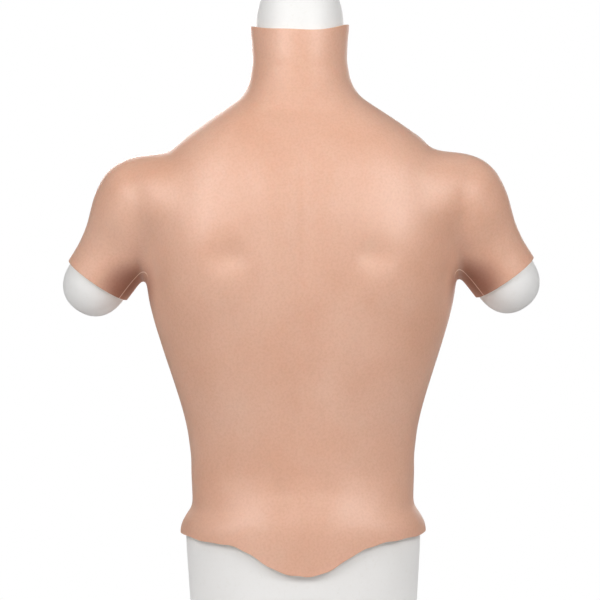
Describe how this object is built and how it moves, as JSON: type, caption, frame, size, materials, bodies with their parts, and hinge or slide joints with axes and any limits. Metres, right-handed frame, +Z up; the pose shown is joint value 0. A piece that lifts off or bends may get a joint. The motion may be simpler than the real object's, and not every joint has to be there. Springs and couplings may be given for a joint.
{
  "type": "torso mannequin",
  "caption": "Headless upper-body mannequin: a hollow white form that lifts apart at the waist, with domed neck and arm caps, dressed in a flesh-coloured pull-on rubber skin.",
  "frame": {"origin": "middle of the footprint, on the surface that the four feet stand on", "axes": "+Z up, from the feet to the neck; the chest faces -Y and the back +Y; the mannequin's own left arm is on +X"},
  "size_m": [0.5188, 0.232, 0.7616],
  "materials": {
    "skin_rubber": "soft matt silicone rubber",
    "white_form": "satin",
    "plywood": "raw plywood",
    "steel": "zinc plated",
    "black_rubber": "moulded matt"
  },
  "bodies": {
    "hips": {"hip_shell": "white_form", "hip_base_board": "plywood", "hip_top_board": "plywood", "stand_socket": "steel", "stand_socket_screw_1": "steel", "stand_socket_screw_2": "steel", "stand_socket_screw_3": "steel", "stand_socket_screw_4": "steel", "waist_spigot": "steel", "waist_spigot_screw_1": "steel", "waist_spigot_screw_2": "steel", "waist_spigot_screw_3": "steel", "waist_spigot_screw_4": "steel", "waist_key_pin_left": "steel", "waist_key_pin_right": "steel", "foot_1": "black_rubber", "foot_2": "black_rubber", "foot_3": "black_rubber", "foot_4": "black_rubber", "foot_screw_1": "steel", "foot_screw_2": "steel", "foot_screw_3": "steel", "foot_screw_4": "steel"},
    "torso": {"torso_front_shell": "white_form", "torso_back_shell": "white_form", "waist_board": "plywood", "waist_bush": "steel", "waist_bush_screw_1": "steel", "waist_bush_screw_2": "steel", "waist_bush_screw_3": "steel", "waist_bush_screw_4": "steel", "skin": "skin_rubber", "neck_ring": "white_form", "left_arm_ring": "white_form", "right_arm_ring": "white_form"},
    "neck_cap": {"neck_cap": "white_form", "neck_plug": "white_form", "neck_grip_band": "black_rubber"},
    "left_arm_cap": {"left_arm_cap": "white_form", "left_arm_plug": "white_form", "left_arm_grip_band": "black_rubber"},
    "right_arm_cap": {"right_arm_cap": "white_form", "right_arm_plug": "white_form", "right_arm_grip_band": "black_rubber"}
  },
  "joints": [
    {"name": "torso_lift", "type": "slide", "parent": "hips", "child": "torso", "axis": [0, 0, 1], "range_m": [0, 0.15]},
    {"name": "neck_cap_pull", "type": "slide", "parent": "torso", "child": "neck_cap", "axis": [0, -0.1736, 0.9848], "range_m": [0, 0.075]},
    {"name": "left_arm_cap_pull", "type": "slide", "parent": "torso", "child": "left_arm_cap", "axis": [0.5693, -0.1219, -0.813], "range_m": [0, 0.05]},
    {"name": "right_arm_cap_pull", "type": "slide", "parent": "torso", "child": "right_arm_cap", "axis": [-0.5693, -0.1219, -0.813], "range_m": [0, 0.05]}
  ]
}
